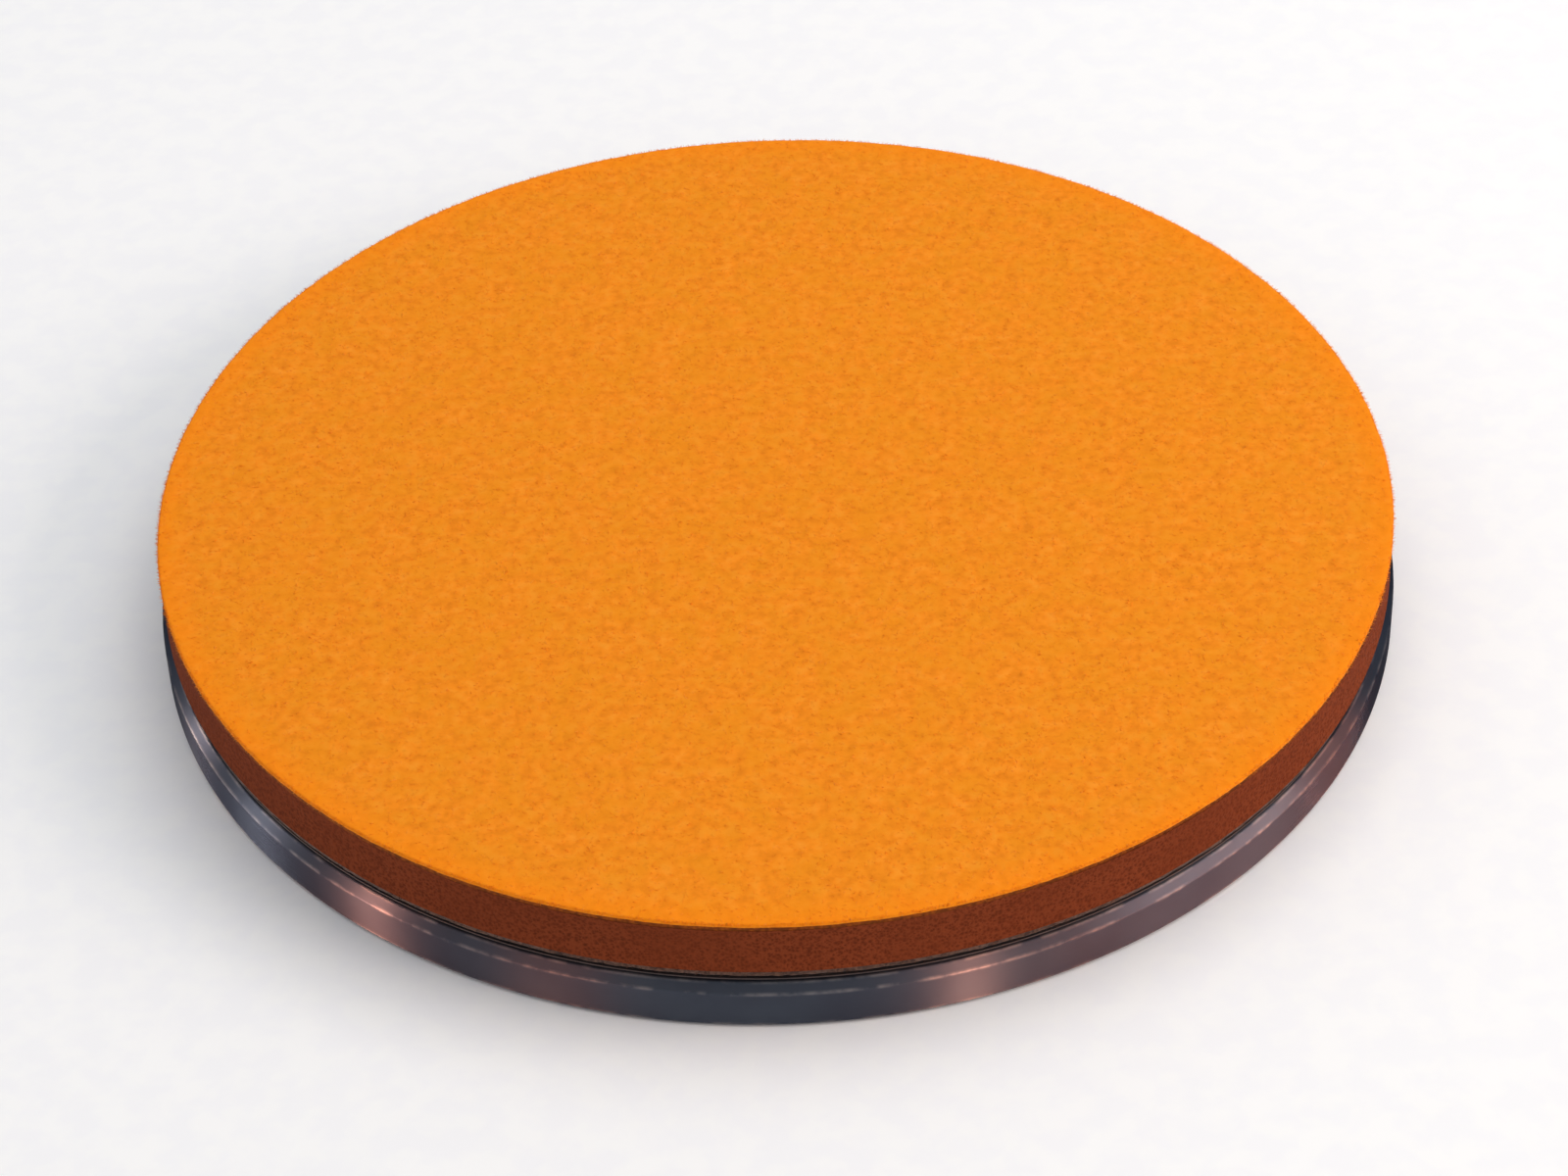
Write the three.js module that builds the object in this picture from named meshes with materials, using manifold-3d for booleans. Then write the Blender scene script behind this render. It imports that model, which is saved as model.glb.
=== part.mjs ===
// Round polishing pad on its backing plate. A thin laminated pad grips a turned aluminium plate by
// hook and loop, and a threaded steel bush let into the plate takes the spindle of the polisher.
// Millimetres, +Z up. The plate lies on z = 0 with the working face up, and everything is turned
// about the Z axis. The hub of the bush stands up through the plate into a pocket in the pad's back,
// so it centres the pad and gives the thread its length.

import * as THREE from "three";
import * as BufferGeometryUtils from "three/addons/utils/BufferGeometryUtils.js";
import Module from "manifold-3d";

// ---------------------------------------------------------------- driving dimensions

// Backing plate
const PLATE_RADIUS = 75;
const PLATE_THICKNESS = 6;
const PLATE_TOP_CHAMFER = 1;
const PLATE_BOTTOM_CHAMFER = 0.4;

// Threaded bush: a flange let into the underside, and a hub through the plate
const THREAD_CREST_RADIUS = 5.95; // inside of an M14 x 2 thread
const THREAD_MOUTH_CHAMFER = 1.1;
const HUB_RADIUS = 12;
const HUB_STANDOUT = 4.8; // above the top of the plate
const HUB_CHAMFER = 0.8;
const FLANGE_CHAMFER = 0.3;
const FLANGE_SETBACK = 0.2; // the plate, not the bush, touches the bench
const BUSH_CLEARANCE = 0.1; // round the flange and the hub

// Countersunk socket screws through the flange into the plate
const SCREW_COUNT = 6;
const SCREW_RADIUS = 2; // M4
const SCREW_HEAD_RADIUS = 3.8;
const SCREW_HEAD_RIM = 0.35; // straight edge of the head
const SCREW_SETBACK = 0.15; // head below the flange's face
const SCREW_CLEARANCE = 0.15;
const SCREW_LAND = 1.7; // flange left beside a head, towards the hub and towards the rim
const SCREW_FLOOR = 0.5; // flange left above a head
const SCREW_TIP_GAP = 0.3; // below the top of the plate
const SOCKET_RADIUS = 1.45; // across the corners of the hexagon
const SOCKET_DEPTH = 1.3;
const SOCKET_TURN = THREE.MathUtils.degToRad(17); // from one screw's stopping place to the next one's

// Hook sheet and its adhesive, on the plate
const HOOK_FILM_THICKNESS = 0.15;
const HOOK_SHEET_THICKNESS = 0.75;
const HOOK_SHEET_INSET = 0.6; // back from the side of the pad

// The pad's layers, from the back to the working face
const PLATE_LEDGE = 0.6; // the plate stands out past the pad all round
const LOOP_FLEECE_THICKNESS = 0.8;
const LOOP_FLEECE_INSET = 0.4; // back from the side of the pad
const BACK_FILM_THICKNESS = 0.2;
const FOAM_THICKNESS = 6.3;
const FACE_FILM_THICKNESS = 0.2;
const WORKING_FACE_THICKNESS = 0.8;
const WORKING_FACE_ROUNDING = 0.3;
const FILM_INSET = 0.3; // an adhesive film stops short of the edge that it holds
const POCKET_CLEARANCE = 1.5; // round the hub, in the hook sheet and in the pad's back

// Facets
const DISC_SEGMENTS = 96;
const BUSH_SEGMENTS = 48;
const SCREW_SEGMENTS = 18;
const ROUNDING_STEPS = 3;

// ---------------------------------------------------------------- what follows from them

const PAD_RADIUS = PLATE_RADIUS - PLATE_LEDGE;
const LOOP_FLEECE_RADIUS = PAD_RADIUS - LOOP_FLEECE_INSET;
const HOOK_SHEET_RADIUS = PAD_RADIUS - HOOK_SHEET_INSET;
const POCKET_RADIUS = HUB_RADIUS + POCKET_CLEARANCE;

const SCREW_HEAD_FACE = FLANGE_SETBACK + SCREW_SETBACK;
const SCREW_HEAD_DEPTH = SCREW_HEAD_RIM + SCREW_HEAD_RADIUS - SCREW_RADIUS;
const SCREW_CIRCLE_RADIUS = HUB_RADIUS + SCREW_LAND + SCREW_HEAD_RADIUS;
const FLANGE_RADIUS = SCREW_CIRCLE_RADIUS + SCREW_HEAD_RADIUS + SCREW_LAND;
const FLANGE_TOP = SCREW_HEAD_FACE + SCREW_HEAD_DEPTH + SCREW_FLOOR;
const HUB_TOP = PLATE_THICKNESS + HUB_STANDOUT;

const HOOK_SHEET_BOTTOM = PLATE_THICKNESS + HOOK_FILM_THICKNESS;
const LOOP_FLEECE_BOTTOM = HOOK_SHEET_BOTTOM + HOOK_SHEET_THICKNESS;
const BACK_FILM_BOTTOM = LOOP_FLEECE_BOTTOM + LOOP_FLEECE_THICKNESS;
const FOAM_BOTTOM = BACK_FILM_BOTTOM + BACK_FILM_THICKNESS;
const FACE_FILM_BOTTOM = FOAM_BOTTOM + FOAM_THICKNESS;
const WORKING_FACE_BOTTOM = FACE_FILM_BOTTOM + FACE_FILM_THICKNESS;

// ---------------------------------------------------------------- solids

const wasm = await Module();
wasm.setup();

/** Turn a profile of [radius, z] points, listed with the material on its left, about the Z axis. */
function turned(profile, segments) {
  const points = profile.map(([radius, z]) => new THREE.Vector2(radius, z));
  const geometry = new THREE.LatheGeometry(points, segments);
  geometry.rotateX(Math.PI / 2);
  return welded(geometry);
}

/** Keep only the positions and merge the vertices that faces share. */
function welded(geometry) {
  const plain = geometry.clone();
  plain.deleteAttribute("normal");
  plain.deleteAttribute("uv");
  const merged = BufferGeometryUtils.mergeVertices(plain, 1e-4);
  return withoutSlivers(merged);
}

/** Drop the triangles that merging has closed up, such as those on the axis. */
function withoutSlivers(geometry) {
  const index = geometry.index.array;
  const kept = [];
  for (let i = 0; i < index.length; i += 3) {
    const [a, b, c] = [index[i], index[i + 1], index[i + 2]];
    if (a !== b && b !== c && c !== a) {
      kept.push(a, b, c);
    }
  }
  geometry.setIndex(kept);
  return geometry;
}

/** A closed geometry as a solid that can be cut. */
function toSolid(geometry) {
  const mesh = new wasm.Mesh({
    numProp: 3,
    vertProperties: new Float32Array(geometry.attributes.position.array),
    triVerts: new Uint32Array(geometry.index.array),
  });
  mesh.merge();
  return new wasm.Manifold(mesh);
}

/** A cut solid as a geometry again. */
function toGeometry(solid) {
  const mesh = solid.getMesh();
  const geometry = new THREE.BufferGeometry();
  geometry.setAttribute("position", new THREE.BufferAttribute(new Float32Array(mesh.vertProperties), 3));
  geometry.setIndex(Array.from(mesh.triVerts));
  return geometry;
}

/** A geometry with copies of a cutter taken out of it. */
function cut(geometry, cutters) {
  let solid = toSolid(geometry);
  for (const cutter of cutters) {
    solid = solid.subtract(toSolid(cutter));
  }
  return toGeometry(solid);
}

/** The copies of a geometry at the places of the screws. */
function atScrews(geometry) {
  return screwPlaces().map(({ x, y }) => geometry.clone().translate(x, y, 0));
}

/** Where the axes of the screws stand. */
function screwPlaces() {
  return Array.from({ length: SCREW_COUNT }, (_, i) => {
    const angle = ((i + 0.5) / SCREW_COUNT) * 2 * Math.PI;
    return { x: SCREW_CIRCLE_RADIUS * Math.cos(angle), y: SCREW_CIRCLE_RADIUS * Math.sin(angle) };
  });
}

/** A flat ring, or a disc where the inner radius is 0. */
function ring(innerRadius, outerRadius, bottom, thickness) {
  const top = bottom + thickness;
  const profile = [
    [innerRadius, bottom],
    [outerRadius, bottom],
    [outerRadius, top],
    [innerRadius, top],
  ];
  if (innerRadius > 0) {
    profile.push([innerRadius, bottom]);
  }
  return turned(profile, DISC_SEGMENTS);
}

// ---------------------------------------------------------------- plate and bush

/** Outline of a countersunk screw, grown all round by a clearance, from its head to its tip. */
function screwProfile(clearance, headFace, tip) {
  const head = SCREW_HEAD_RADIUS + clearance;
  const shank = SCREW_RADIUS + clearance;
  const rimEnd = SCREW_HEAD_FACE + SCREW_HEAD_RIM;
  return [
    [0, headFace],
    [head, headFace],
    [head, rimEnd],
    [shank, rimEnd + head - shank],
    [shank, tip],
    [0, tip],
  ];
}

/** What a screw takes out of the flange and the plate: it runs past both. */
function screwCutter() {
  return turned(screwProfile(SCREW_CLEARANCE, -1, PLATE_THICKNESS + 1), SCREW_SEGMENTS);
}

function bushScrew() {
  const body = turned(screwProfile(0, SCREW_HEAD_FACE, PLATE_THICKNESS - SCREW_TIP_GAP), SCREW_SEGMENTS);
  const hexagon = new THREE.CylinderGeometry(SOCKET_RADIUS, SOCKET_RADIUS, 2 * SOCKET_DEPTH, 6);
  hexagon.rotateX(Math.PI / 2);
  hexagon.translate(0, 0, SCREW_HEAD_FACE);
  return cut(body, [welded(hexagon)]);
}

function backingPlate() {
  const recess = FLANGE_RADIUS + BUSH_CLEARANCE;
  const bore = HUB_RADIUS + BUSH_CLEARANCE;
  const profile = [
    [recess, 0],
    [PLATE_RADIUS - PLATE_BOTTOM_CHAMFER, 0],
    [PLATE_RADIUS, PLATE_BOTTOM_CHAMFER],
    [PLATE_RADIUS, PLATE_THICKNESS - PLATE_TOP_CHAMFER],
    [PLATE_RADIUS - PLATE_TOP_CHAMFER, PLATE_THICKNESS],
    [bore, PLATE_THICKNESS],
    [bore, FLANGE_TOP],
    [recess, FLANGE_TOP],
    [recess, 0],
  ];
  return cut(turned(profile, DISC_SEGMENTS), atScrews(screwCutter()));
}

function threadedBush() {
  const mouth = THREAD_CREST_RADIUS + THREAD_MOUTH_CHAMFER;
  const profile = [
    [mouth, FLANGE_SETBACK],
    [FLANGE_RADIUS - FLANGE_CHAMFER, FLANGE_SETBACK],
    [FLANGE_RADIUS, FLANGE_SETBACK + FLANGE_CHAMFER],
    [FLANGE_RADIUS, FLANGE_TOP],
    [HUB_RADIUS, FLANGE_TOP],
    [HUB_RADIUS, HUB_TOP - HUB_CHAMFER],
    [HUB_RADIUS - HUB_CHAMFER, HUB_TOP],
    [mouth, HUB_TOP],
    [THREAD_CREST_RADIUS, HUB_TOP - THREAD_MOUTH_CHAMFER],
    [THREAD_CREST_RADIUS, FLANGE_SETBACK + THREAD_MOUTH_CHAMFER],
    [mouth, FLANGE_SETBACK],
  ];
  return cut(turned(profile, BUSH_SEGMENTS), atScrews(screwCutter()));
}

// ---------------------------------------------------------------- hook and loop

function hookFilm() {
  return ring(POCKET_RADIUS, HOOK_SHEET_RADIUS - FILM_INSET, PLATE_THICKNESS, HOOK_FILM_THICKNESS);
}

function hookSheet() {
  return ring(POCKET_RADIUS, HOOK_SHEET_RADIUS, HOOK_SHEET_BOTTOM, HOOK_SHEET_THICKNESS);
}

function loopFleece() {
  return ring(POCKET_RADIUS, LOOP_FLEECE_RADIUS, LOOP_FLEECE_BOTTOM, LOOP_FLEECE_THICKNESS);
}

// ---------------------------------------------------------------- pad

function backFilm() {
  return ring(POCKET_RADIUS, LOOP_FLEECE_RADIUS - FILM_INSET, BACK_FILM_BOTTOM, BACK_FILM_THICKNESS);
}

function foamCushion() {
  return ring(POCKET_RADIUS, PAD_RADIUS, FOAM_BOTTOM, FOAM_THICKNESS);
}

function faceFilm() {
  return ring(0, PAD_RADIUS - FILM_INSET, FACE_FILM_BOTTOM, FACE_FILM_THICKNESS);
}

function workingFace() {
  const top = WORKING_FACE_BOTTOM + WORKING_FACE_THICKNESS;
  const rounded = Array.from({ length: ROUNDING_STEPS + 1 }, (_, i) => {
    const angle = (i / ROUNDING_STEPS) * (Math.PI / 2);
    return [
      PAD_RADIUS - WORKING_FACE_ROUNDING * (1 - Math.cos(angle)),
      top - WORKING_FACE_ROUNDING * (1 - Math.sin(angle)),
    ];
  });
  const profile = [[0, WORKING_FACE_BOTTOM], [PAD_RADIUS, WORKING_FACE_BOTTOM], ...rounded, [0, top]];
  return turned(profile, DISC_SEGMENTS);
}

// ---------------------------------------------------------------- materials

const orangeNap = new THREE.MeshStandardMaterial({ color: 0xf08a19, roughness: 0.95, metalness: 0 });
const rustFoam = new THREE.MeshStandardMaterial({ color: 0x6b3426, roughness: 0.9, metalness: 0 });
const clearGlue = new THREE.MeshStandardMaterial({ color: 0xc9b899, roughness: 0.45, metalness: 0 });
const charcoalFleece = new THREE.MeshStandardMaterial({ color: 0x33302f, roughness: 0.95, metalness: 0 });
const blackNylon = new THREE.MeshStandardMaterial({ color: 0x1e1d1f, roughness: 0.5, metalness: 0 });
const turnedAluminium = new THREE.MeshStandardMaterial({ color: 0x74747a, roughness: 0.25, metalness: 1 });
const plainSteel = new THREE.MeshStandardMaterial({ color: 0x9a9ba0, roughness: 0.35, metalness: 1 });
const blackenedSteel = new THREE.MeshStandardMaterial({ color: 0x2c2c30, roughness: 0.4, metalness: 1 });

// ---------------------------------------------------------------- assembly

/** A named piece with its own material. */
function piece(name, geometry, material) {
  const mesh = new THREE.Mesh(geometry, material.clone());
  mesh.name = name;
  return mesh;
}

/** The screws of the bush, each in its place and turned to where its socket stopped. */
function bushScrews() {
  const geometry = bushScrew();
  return screwPlaces().map(({ x, y }, i) => {
    const screw = piece(`bush_screw_${i + 1}`, geometry, blackenedSteel);
    screw.position.set(x, y, 0);
    screw.rotation.z = i * SOCKET_TURN;
    return screw;
  });
}

const plate = new THREE.Group();
plate.add(
  piece("backing_plate", backingPlate(), turnedAluminium),
  piece("threaded_bush", threadedBush(), plainSteel),
  ...bushScrews(),
  piece("hook_film", hookFilm(), clearGlue),
  piece("hook_sheet", hookSheet(), blackNylon),
);

const pad = new THREE.Group();
pad.add(
  piece("loop_fleece", loopFleece(), charcoalFleece),
  piece("back_film", backFilm(), clearGlue),
  piece("foam_cushion", foamCushion(), rustFoam),
  piece("face_film", faceFilm(), clearGlue),
  piece("working_face", workingFace(), orangeNap),
);

const group = new THREE.Group();
group.add(plate, pad);

export default group;
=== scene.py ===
"""Looks of a round polishing pad lying on its backing plate.

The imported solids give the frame. Each sub-assembly below is a class that builds the fine meshes of its
pieces in the places of those solids, and dresses them. Lengths in the classes are millimetres, and
everything in Blender is in metres.
"""
import logging
import math
from dataclasses import dataclass
from enum import Enum
from typing import ClassVar

import bpy
import numpy as np
from bpy.types import Material, Node, NodeSocket, NodeTree, Object
from mathutils import Matrix, Vector


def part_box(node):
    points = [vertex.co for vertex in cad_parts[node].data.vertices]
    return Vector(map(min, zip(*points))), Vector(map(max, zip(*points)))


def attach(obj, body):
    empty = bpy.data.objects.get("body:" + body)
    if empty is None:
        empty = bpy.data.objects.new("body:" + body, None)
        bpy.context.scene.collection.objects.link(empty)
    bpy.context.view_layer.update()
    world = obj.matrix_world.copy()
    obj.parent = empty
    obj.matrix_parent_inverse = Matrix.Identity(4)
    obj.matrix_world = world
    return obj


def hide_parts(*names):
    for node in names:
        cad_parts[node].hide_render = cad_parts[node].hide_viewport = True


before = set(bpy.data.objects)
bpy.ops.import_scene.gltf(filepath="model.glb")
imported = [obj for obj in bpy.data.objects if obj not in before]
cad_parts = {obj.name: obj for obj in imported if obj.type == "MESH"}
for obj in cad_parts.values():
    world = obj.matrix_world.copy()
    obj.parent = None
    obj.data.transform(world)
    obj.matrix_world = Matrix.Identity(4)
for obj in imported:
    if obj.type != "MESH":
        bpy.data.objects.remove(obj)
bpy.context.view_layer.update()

LOG = logging.getLogger("polishing_pad")
MM = 0.001
FULL_TURN = 2 * math.pi
HUB_RADIUS = 12.0  # of the bush above its flange
POCKET_RADIUS = 13.5  # of the hole round the hub, in the hook sheet, the fleece and the foam
FLANGE_TOP = 3.0  # where the flange of the bush ends, and the recess that holds it
OBLIQUE = (0.31, 0.17, 0.93)  # no fibre lies along it, so it gives each one a side
MIX_FACTOR, MIX_A, MIX_B, MIX_RESULT = 0, 6, 7, 2  # a Mix node's colour sockets, which share their names


class Body(Enum):
    """The rigid bodies that pieces ride on."""

    PLATE = "plate"
    PAD = "pad"


# ------------------------------------------------------------------ colours and nodes


def linear(hex_colour: str) -> tuple[float, float, float, float]:
    """Turn an sRGB hex colour into the linear colour that sockets take.

    Args:
        hex_colour: Six hex digits after a #.

    Returns:
        Linear red, green, blue and an alpha of 1.
    """
    channels = (int(hex_colour[i : i + 2], 16) / 255 for i in (1, 3, 5))
    red, green, blue = (c / 12.92 if c <= 0.04045 else ((c + 0.055) / 1.055) ** 2.4 for c in channels)
    return red, green, blue, 1.0


def per_metre(size_mm: float) -> float:
    """Return the texture scale whose features are size_mm apart."""
    return 1 / (size_mm * MM)


def fill_sockets(node: Node, inputs: dict) -> None:
    """Set a node's sockets, or link them.

    Args:
        node: The node to fill.
        inputs: Socket name or index to a value, or to the output socket to link from.
    """
    for key, value in inputs.items():
        if isinstance(value, NodeSocket):
            node.id_data.links.new(value, node.inputs[key])
        else:
            node.inputs[key].default_value = value


def add_node(
    tree: NodeTree, kind: str, inputs: dict | None = None, stops: list | None = None, **settings
) -> Node:
    """Add a node with its settings, its socket values and its links.

    Args:
        tree: The node tree to add to.
        kind: The node's Blender type.
        inputs: Socket name or index to a value, or to the output socket to link from.
        stops: For a colour ramp, places from 0 to 1 and hex colours, in order.
        settings: Attributes of the node itself.

    Returns:
        The new node.
    """
    node = tree.nodes.new(kind)
    for key, value in settings.items():
        setattr(node, key, value)
    fill_sockets(node, inputs or {})
    if stops:
        elements = node.color_ramp.elements
        while len(elements) < len(stops):
            elements.new(1.0)
        for element, (place, colour) in zip(elements, stops, strict=True):
            element.position = place
            element.color = linear(colour)
    return node


# ------------------------------------------------------------------ finishes


@dataclass(frozen=True)
class Finish:
    """A finish that becomes one material, named for what the surface really is."""

    title: str

    def make(self) -> Material:
        """Build the material, or return the one already built.

        Returns:
            The material of this finish.
        """
        found = bpy.data.materials.get(self.title)
        if found:
            return found
        material = bpy.data.materials.new(self.title)
        material.use_nodes = True
        tree = material.node_tree
        tree.nodes.clear()
        shader = add_node(tree, "ShaderNodeBsdfPrincipled")
        add_node(tree, "ShaderNodeOutputMaterial", {"Surface": shader.outputs[0]})
        place = add_node(tree, "ShaderNodeTexCoord").outputs["Object"]
        fill_sockets(shader, self.paint(tree, place))
        return material

    def paint(self, tree: NodeTree, place: NodeSocket) -> dict:
        """Build what varies over the surface.

        Args:
            tree: The material's node tree.
            place: Coordinates fixed to the piece, in metres.

        Returns:
            What fills each socket of the shader: a value, or the output to link.
        """
        raise NotImplementedError

    @staticmethod
    def mottle(
        tree: NodeTree, place: NodeSocket, patch_mm: float, detail: float, stops: list, distortion: float = 0
    ) -> tuple[NodeSocket, NodeSocket]:
        """Spread patches of a real size over the surface, and colour them.

        Args:
            tree: The material's node tree.
            place: Coordinates fixed to the piece, in metres.
            patch_mm: Distance from patch to patch.
            detail: How many finer sizes of patch lie over the first.
            stops: Places from 0 to 1 and hex colours, in order.
            distortion: How far the patches are tangled.

        Returns:
            The patches, from 0 to 1, and their colour.
        """
        settings = {"Vector": place, "Scale": per_metre(patch_mm), "Detail": detail, "Distortion": distortion}
        patches = add_node(tree, "ShaderNodeTexNoise", settings).outputs["Fac"]
        return patches, add_node(tree, "ShaderNodeValToRGB", {"Fac": patches}, stops).outputs["Color"]

    @staticmethod
    def stain(
        tree: NodeTree, under: NodeSocket, over: str, guide: NodeSocket, bounds: dict, blend: str = "LINEAR"
    ) -> NodeSocket:
        """Lay a colour over another where a guide says so.

        Args:
            tree: The material's node tree.
            under: The colour below.
            over: The hex colour laid over it.
            guide: The value that says where.
            bounds: The guide's range and how much is laid on at each end, by socket name.
            blend: How the amount runs between the ends.

        Returns:
            The stained colour.
        """
        amount = add_node(
            tree, "ShaderNodeMapRange", {"Value": guide, **bounds}, interpolation_type=blend
        ).outputs["Result"]
        mixed = {MIX_FACTOR: amount, MIX_A: under, MIX_B: linear(over)}
        return add_node(tree, "ShaderNodeMix", mixed, data_type="RGBA").outputs[MIX_RESULT]

    @staticmethod
    def reach(tree: NodeTree, place: NodeSocket) -> NodeSocket:
        """Add the distance from the spindle's axis.

        Args:
            tree: The material's node tree.
            place: Coordinates fixed to the piece, in metres.

        Returns:
            The distance, in metres.
        """
        level = add_node(
            tree, "ShaderNodeVectorMath", {0: place, 1: (1.0, 1.0, 0.0)}, operation="MULTIPLY"
        ).outputs[0]
        return add_node(tree, "ShaderNodeVectorMath", {0: level}, operation="LENGTH").outputs["Value"]


@dataclass(frozen=True)
class ShearedVelour(Finish):
    """Polyester velour, knitted and sheared to a short, even pile. The eye gets a matt, deep orange with a
    faint mottle of painted light and shade where the pile's lean turns this way and that, and painted shade
    in the small pits where it parts."""

    title: str = "polyester_velour_sheared"
    body: str = "#F38C1C"
    # lean colours: painted light and painted shade of the pile lying this way and that
    lean_painted_light: str = "#F8972A"
    lean_painted_shade: str = "#E58217"
    ochre: str = "#E98F16"
    # painted shade in the pits where the pile parts
    pit_painted_shade: str = "#CF7010"
    rim: str = "#FC890C"
    sheen: str = "#FFB566"
    dye_mm: float = 2.8
    lean_mm: float = 1.4
    tuft_mm: float = 0.8
    radius_mm: float = 74.4
    rim_width_mm: float = 5.0

    def paint(self, tree: NodeTree, place: NodeSocket) -> dict:
        """Mottle the pile's colour with painted light and shade, paint shade into its pits, deepen it at the
        rim and roughen its surface.

        Args:
            tree: The material's node tree.
            place: Coordinates fixed to the piece, in metres.

        Returns:
            What fills each socket of the shader.
        """
        # painted light and shade: the pile's lean drawn lighter and darker in the colour
        painted_lean_shading = [(0.30, self.lean_painted_shade), (0.50, self.body), (0.70, self.lean_painted_light)]
        colour = self.mottle(tree, place, self.lean_mm, 3.0, painted_lean_shading)[1]
        dye, tufts = (
            add_node(
                tree, "ShaderNodeTexNoise", {"Vector": place, "Scale": per_metre(size), "Detail": detail}
            ).outputs["Fac"]
            for size, detail in ((self.dye_mm, 3.0), (self.tuft_mm, 4.0))
        )
        dyed = {"From Min": 0.4, "From Max": 0.62, "To Max": 0.5}
        colour = self.stain(tree, colour, self.ochre, dye, dyed)
        # painted shade: the colour darkens in the low places of the tufts' bump, where the pile parts
        parted = {"From Min": 0.32, "From Max": 0.44, "To Min": 0.3, "To Max": 0.0}
        colour = self.stain(tree, colour, self.pit_painted_shade, tufts, parted)
        inner = (self.radius_mm - self.rim_width_mm) * MM
        near_rim = {"From Min": inner, "From Max": self.radius_mm * MM, "To Max": 0.5}
        colour = self.stain(tree, colour, self.rim, self.reach(tree, place), near_rim, "SMOOTHSTEP")
        bump = add_node(tree, "ShaderNodeBump", {"Height": tufts, "Strength": 0.4, "Distance": 0.12 * MM})
        return {
            "Base Color": colour,
            "Normal": bump.outputs["Normal"],
            "Roughness": 0.95,
            "Specular IOR Level": 0.08,
            "Sheen Weight": 0.1,
            "Sheen Roughness": 0.5,
            "Sheen Tint": linear(self.sheen),
        }


@dataclass(frozen=True)
class KnitBacking(Finish):
    """The knitted ground of the velour, dyed with it. On the cut edge the eye gets a darker, browner orange,
    painted shade on the side, with the fine upright nicks of the yarns and painted shade darkest in the gaps
    between them."""

    title: str = "polyester_ground_knit"
    # yarn and gap are painted shade on the cut edge, the gap darker still
    yarn: str = "#9A4B12"
    gap: str = "#6E340D"
    yarn_mm: float = 0.55

    def paint(self, tree: NodeTree, place: NodeSocket) -> dict:
        """Alternate yarn and gap round the edge, both colours painted shade, the gaps the darker.

        Args:
            tree: The material's node tree.
            place: Coordinates fixed to the piece, in metres.

        Returns:
            What fills each socket of the shader.
        """
        yarns = add_node(
            tree, "ShaderNodeTexVoronoi", {"Vector": place, "Scale": per_metre(self.yarn_mm)}
        ).outputs["Distance"]
        # painted shade: the side of the cloth is coloured darker and browner than the pile, darkest between
        # the yarns
        stops = [(0.15, self.yarn), (0.75, self.gap)]
        colour = add_node(tree, "ShaderNodeValToRGB", {"Fac": yarns}, stops).outputs["Color"]
        bump = add_node(
            tree, "ShaderNodeBump", {"Height": yarns, "Strength": 0.5, "Distance": 0.1 * MM}, invert=True
        ).outputs["Normal"]
        return {"Base Color": colour, "Normal": bump, "Roughness": 0.95, "Specular IOR Level": 0.1}


@dataclass(frozen=True)
class SpunFibre(Finish):
    """One dyed fibre, drawn wider than a real one so that it shows. It is far too fine to carry a pattern, so
    each shade is one colour, and the eye gets pale and dark flecks: the pale shade is a painted glint, the
    deep one painted shade."""

    title: str = "polyester_fibre"
    colour: str = "#F8932A"

    def paint(self, tree: NodeTree, place: NodeSocket) -> dict:
        """Give the fibre its one colour."""
        return {"Base Color": linear(self.colour), "Roughness": 0.85, "Specular IOR Level": 0.1}


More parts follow.
